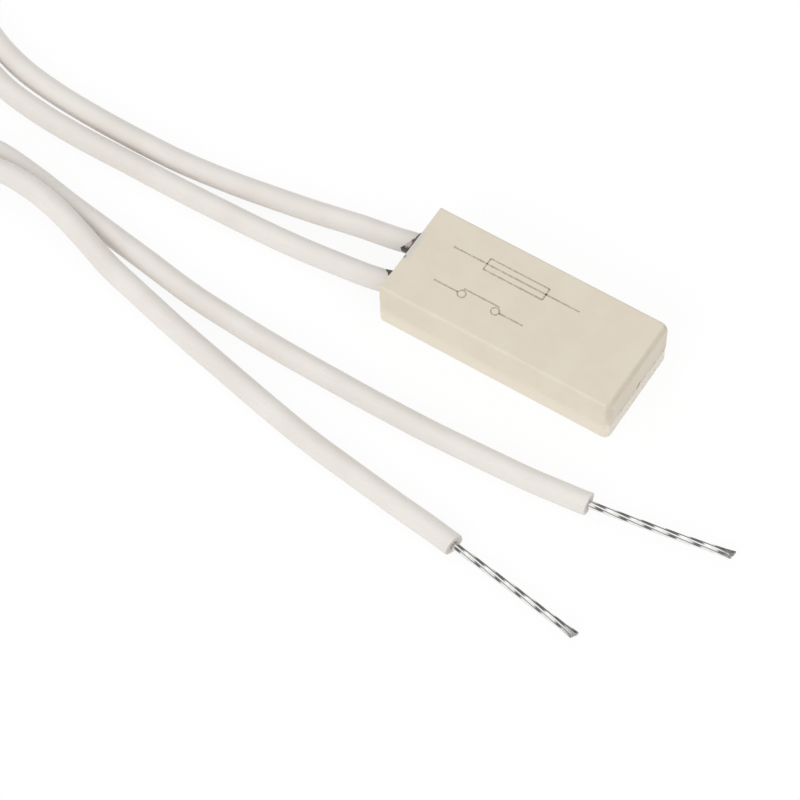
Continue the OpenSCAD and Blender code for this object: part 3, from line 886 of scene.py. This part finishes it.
def tornEnd(c, y, z):
    # how far the closed end stands out or in: a gate mark with its broken stub, on a ragged parting line
    spot = Vector((0, y * 5, z * 5))
    rough = clouds.noise(spot) + 0.5 * clouds.noise(spot * 2.3)
    tear = clouds.noise(Vector((1, y * 2.9, z * 6))) + 0.6 * clouds.noise(Vector((4, y * 6.5, z * 11)))
    off = math.hypot(y, z - c["partAt"])
    sunk = part01((c["gateWide"] / 2 + 0.05 * rough - off) / c["gateEdge"])
    stub = part01((c["stubWide"] / 2 + 0.06 * rough - off) / c["stubEdge"])
    lip = max(0, 1 - abs(z - c["partAt"] - c["flashAt"]) / c["flashHalf"]) * max(0, tear + 0.15)
    line = c["partAt"] + c["grooveAt"] + 0.05 * clouds.noise(Vector((2, y * 1.7, 0)))
    slot = max(0, 1 - abs(z - line) / c["grooveHalf"]) * max(0, 0.25 - tear)
    slot *= part01((y - c["grooveFrom"]) / 0.6)
    torn = c["flash"] * min(1, lip) - c["groove"] * min(1, slot)
    return torn * (1 - sunk) - c["gateDeep"] * sunk * (1 - 0.5 * stub)


def rimAt(c, y, z):
    # the mouth's edge leans out at the top of its front side, and is chipped
    front = part01((-y - 2.5) / 2)
    lean = front * max(-c["rimLeanMost"], c["rimLean"] * (2 - z))
    foot = c["rimFoot"] * front * part01(1 - z / 0.4) ** 1.5
    chip = c["rimChip"] * max(0, clouds.noise(Vector((y * 1.7, z * 2.2, 3))))
    return -c["length"] / 2 + (lean + foot) + chip


def setBack(c, y, z):
    # the lower half's step at the closed end, along a line that strays
    jag = clouds.noise(Vector((5, y * 2.3, 0))) + 0.8 * clouds.noise(Vector((9, y * 7, 0)))
    return c["endStep"] * part01((c["partAt"] + c["jag"] * jag - z) / c["endStepHigh"])


def caseOutline(c, z, high):
    # one ring of the outside, from the mouth along the front, round the closed end and back along the rear
    below = part01((c["partAt"] - z) / c["sideStepHigh"])
    end = c["length"] / 2 - inset(high - z, c["noseRound"]) - inset(z, c["edgeRound"])
    half = c["width"] / 2 - c["sideStep"] * (1 - below) - inset(min(z, high - z), c["edgeRound"])
    mouth, r = -c["length"] / 2, c["cornerRound"]
    corner = np.radians(np.linspace(0, 90, c["cornerCount"]))[1:]
    front = [(mouth + (end - r - mouth) * a, -half) for a in np.linspace(0, 1, c["alongCount"])]
    front += [(end - r + r * math.sin(b), -half + r - r * math.cos(b)) for b in corner]
    tip = [(end, t * (half - r)) for t in np.linspace(-1, 1, c["acrossCount"])[1:-1]]
    ring = [(x, y, z) for x, y in front + tip + [(x, -y) for x, y in front[::-1]]]
    firstTorn = c["alongCount"] + 3  # the corner's first points stay whole
    for j in range(c["alongCount"], len(ring) - c["alongCount"]):
        x, y, _ = ring[j]
        share = part01((x - end + r) / r)  # nothing is set back where the corner begins
        torn = tornEnd(c, y, z) if firstTorn <= j < len(ring) - firstTorn else 0
        ring[j] = (min(x - share * setBack(c, y, z) + torn, c["length"] / 2), y, z)
    for j in (0, -1):
        ring[j] = (rimAt(c, ring[j][1], z), ring[j][1], z)
    return ring


def makeCase(c):
    levels, high = caseLevels(c)
    rings = np.array([caseOutline(c, z, high) for z in levels])
    rows, count = rings.shape[:2]
    sideCount = c["alongCount"] + c["cornerCount"] - 1
    points = [tuple(p) for p in rings.reshape(-1, 3)]
    faces = ringFaces(rows, count, closed=False)

    def capFace(k, up):
        # rows of points from the front edge to the rear edge, over the top or bottom
        base, grid = k * count, []
        for i in range(sideCount - 1):
            x, y, z = rings[k, i]
            row = [base + i]
            for t in np.linspace(-1, 1, c["acrossCount"])[1:-1]:
                row.append(len(points))
                points.append((rimAt(c, -y * t, z) if i == 0 else x, -y * t, z))
            grid.append(row + [base + count - 1 - i])
        grid.append(list(range(base + sideCount - 1, base + count - sideCount + 1)))
        for a, b in zip(grid, grid[1:]):
            for q in range(c["acrossCount"] - 1):
                quad = (a[q], b[q], b[q + 1], a[q + 1])
                faces.append(quad if up else quad[::-1])
        return grid[0]

    floorRow, roofRow = capFace(0, False), capFace(rows - 1, True)
    # rim of the mouth, then the cavity behind it
    rearSide = [k * count + count - 1 for k in range(rows)]
    frontSide = [k * count for k in range(rows)]
    outer = floorRow + rearSide[1:] + roofRow[::-1][1:] + frontSide[::-1][1:-1]
    middle = c["height"] / 2
    wide, tall, r = c["width"] / 2 - c["sideWall"], middle - c["faceWall"], c["cavityRound"]
    loop = []
    for k in outer:
        y = max(-wide, min(wide, points[k][1] * wide / (c["width"] / 2)))
        z = max(-tall, min(tall, (points[k][2] - middle) * tall / middle))
        over = Vector((max(0, abs(y) - wide + r), max(0, abs(z) - tall + r)))
        if min(over) > 0 and over.length > r:
            over *= r / over.length
            y = math.copysign(wide - r + over.x, y)
            z = math.copysign(tall - r + over.y, z)
        loop.append((y, z))
    last, mouth, back, n = outer, -c["length"] / 2, c["length"] / 2 - c["endWall"], len(loop)
    lip = c["rimBreak"]
    for x, flare in ((mouth, lip), (mouth + lip, 0), (mouth + 2, 0), (mouth + 6, 0), (0, 0), (back, 0)):
        now = list(range(len(points), len(points) + n))
        for y, z in loop:
            grow = 1 + flare / max(abs(y) + abs(z), 0.5)
            ragged = c["rimRagged"] * clouds.noise(Vector((y, z, 7))) if flare else 0
            points.append((x + ragged, y * grow, middle + z * grow))
        faces.extend((last[j], now[j], now[(j + 1) % n], last[(j + 1) % n]) for j in range(n))
        last = now
    points.append((back, 0, middle))
    faces.extend((last[(j + 1) % n], last[j], len(points) - 1) for j in range(n))
    return addPiece("case_shell", points, faces, caseFinish, ["case"], sharpOver=38)


case = makeCase(caseSet)
print("case moulded:", len(case.data.polygons), "faces")


# etched sign on the top: the drawing sign of a fuse, and of a closed switch

signSet = {
    "wide": 0.14,
    "deep": 0.05,
    "proud": 0.003,
    "step": 0.12,
    "uneven": 0.35,  # of its width
    "fuse": {"from": -7.5, "to": 3.8, "at": 1.8, "boxFrom": -4.5, "boxTo": 0.8, "boxHigh": 1.15},
    "switch": {
        "from": -7.2, "to": 0.8, "at": -1.6,
        "left": -4.7, "right": -1.7, "ring": 0.34, "bar": 0.5, "barOver": 0.1,
    },
}


def signStrokes(s):
    f, w = s["fuse"], s["switch"]
    low, high = f["at"] - f["boxHigh"] / 2, f["at"] + f["boxHigh"] / 2
    left, right = f["boxFrom"], f["boxTo"]
    box = [(left, low), (right, low), (right, high), (left, high), (left, low)]
    strokes = [[(f["from"], f["at"]), (f["to"], f["at"])]] + [[a, b] for a, b in zip(box, box[1:])]
    turn = [math.radians(a) for a in range(0, 361, 15)]
    for middle in (w["left"], w["right"]):
        ring = [(w["ring"] * math.cos(a), w["ring"] * math.sin(a)) for a in turn]
        strokes.append([(middle + x, w["at"] + y) for x, y in ring])
    strokes.append([(w["from"], w["at"]), (w["left"] - w["ring"], w["at"])])
    strokes.append([(w["right"] + w["ring"], w["at"]), (w["to"], w["at"])])
    high = w["at"] + w["bar"]
    strokes.append([(w["left"] - w["barOver"], high), (w["right"] + w["barOver"], high)])
    return strokes


def makeSign(s):
    top = caseSet["height"] - caseSet["sunkTop"]
    points, faces = [], []
    for stroke in signStrokes(s):
        line = np.array([(x, y, top) for x, y in stroke], float)
        length = lengthsAlong(line)[-1]
        places = np.linspace(0, length, max(3, round(length / s["step"])))
        centres = pointsAt(line, places)
        heading = np.gradient(centres, axis=0)
        half = [s["wide"] / 2 * (1 + s["uneven"] * clouds.noise(Vector(p * 2.6))) for p in centres]
        box = ((1, -s["deep"]), (1, s["proud"]), (-1, s["proud"]), (-1, -s["deep"]))
        outlines = np.array([[(h * across, upward) for across, upward in box] for h in half])
        first, last = len(points), len(points) + 4 * (len(places) - 1)
        faces += ringFaces(len(places), 4, first)
        faces += [(first + 3, first + 2, first + 1, first), (last, last + 1, last + 2, last + 3)]
        points += sweep(centres, heading, outlines).reshape(-1, 3).tolist()
    return addPiece("etched_sign", points, faces, etchFinish, sharpOver=30)


sign = makeSign(signSet)
print("sign etched:", len(sign.data.polygons), "faces")


# each lead's offset and pieces are worked out here and not used

for name, lead in leadRuns.items():
    lead["side"] * leadSet["pitch"] / 2 * mm
    [wires[name], resin] if name == "lead_1" else [wires[name]]


# floor, light and background

stageSet = {
    "floorWide": 3.0,
    "floorAt": -0.00001,
    "floorWhite": 0.86,
    "underlit": 0.55,  # share of the floor's light that comes through it from below
    "shadowShare": 0.12,  # how much of the shadow the camera sees
    "fillFront": 0.88,  # light from all round, a little weaker from behind
    "fillBack": 0.85,
    "fillTurn": 0.6,
    "flagDark": 0.15,  # what bright metal sees of the dark ends of the room
    "flagRear": (0.19, 0.55),  # slopes at which they begin, to the rear and to the front
    "flagFront": (0.74, 1.5),
    "lamps": {
        "front_lamp": {"at": (-0.05, -0.8, 0.55), "wide": 0.6, "power": 2.4, "mirrored": False},
        "top_lamp": {"at": (0.0, 0.05, 0.9), "wide": 0.7, "power": 0.2, "mirrored": True},
    },
}
plainWhite = rgb(1, 1, 1)


def showingRays(start):
    # rays to the camera, and those off and through shiny things, see the plain background
    node = start.add("LightPath").out.node
    kinds = ("Is Camera Ray", "Is Glossy Ray", "Is Transmission Ray")
    camera, glossy, through = [Sock(start.tree, node.outputs[kind]) for kind in kinds]
    return camera.most(glossy).most(through), glossy


def makeFloor(s):
    material = bpy.data.materials.new("pale_floor")
    start = emptyTree(material)
    seen, _ = showingRays(start)
    matt = start.add("BsdfDiffuse", None, {"Color": rgb(*[s["floorWhite"]] * 3)})
    below = start.add("Emission", None, {"Color": plainWhite, "Strength": s["floorWhite"]})
    lit = start.add("MixShader", None, {0: s["underlit"], 1: matt, 2: below})
    shown = start.add("BsdfDiffuse", None, {"Color": plainWhite})
    glow = start.add("Emission", None, {"Color": plainWhite, "Strength": 1.0})
    white = start.add("MixShader", None, {0: s["shadowShare"], 1: glow, 2: shown})
    both = start.add("MixShader", None, {0: seen, 1: lit, 2: white})
    start.add("OutputMaterial", None, {"Surface": both})
    half = s["floorWide"] / 2
    corners = [(x * half, y * half, s["floorAt"]) for x, y in ((-1, -1), (1, -1), (1, 1), (-1, 1))]
    mesh = bpy.data.meshes.new("floor")
    mesh.from_pydata(corners, [], [(0, 1, 2, 3)])
    mesh.materials.append(material)
    putObject("floor", mesh)


def makeWorld(s):
    world = bpy.data.worlds.new("studio")
    bpy.context.scene.world = world
    start = emptyTree(world)
    seen, glossy = showingRays(start)
    y, z = start.add("TexCoord", out="Generated").parts()[1:]
    front = (0 - y).rise(-s["fillTurn"], s["fillTurn"])
    level = s["fillBack"] + (s["fillFront"] - s["fillBack"]) * front
    fill = start.add("Background", None, {"Color": plainWhite, "Strength": level})
    # white all round, but bright metal also sees the dark rear and front of the room
    slope = y / z.most(0.001)
    flag = slope.rise(*s["flagRear"]).most((0 - slope).rise(*s["flagFront"]))
    level = 1 - glossy * flag * (1 - s["flagDark"])
    white = start.add("Background", None, {"Color": plainWhite, "Strength": level})
    both = start.add("MixShader", None, {0: seen, 1: fill, 2: white})
    start.add("OutputWorld", None, {"Surface": both})


def makeLamp(name, s):
    data = bpy.data.lights.new(name, "AREA")
    data.shape, data.size, data.energy = "DISK", s["wide"], s["power"]
    lamp = putObject(name, data)
    lamp.location = s["at"]
    lamp.visible_glossy = s["mirrored"]
    lamp.rotation_euler = (-Vector(s["at"])).to_track_quat("-Z", "Y").to_euler()


makeFloor(stageSet)
makeWorld(stageSet)
for name, lamp in stageSet["lamps"].items():
    makeLamp(name, lamp)
bpy.context.scene.view_settings.view_transform = "Standard"
print("stage lit")
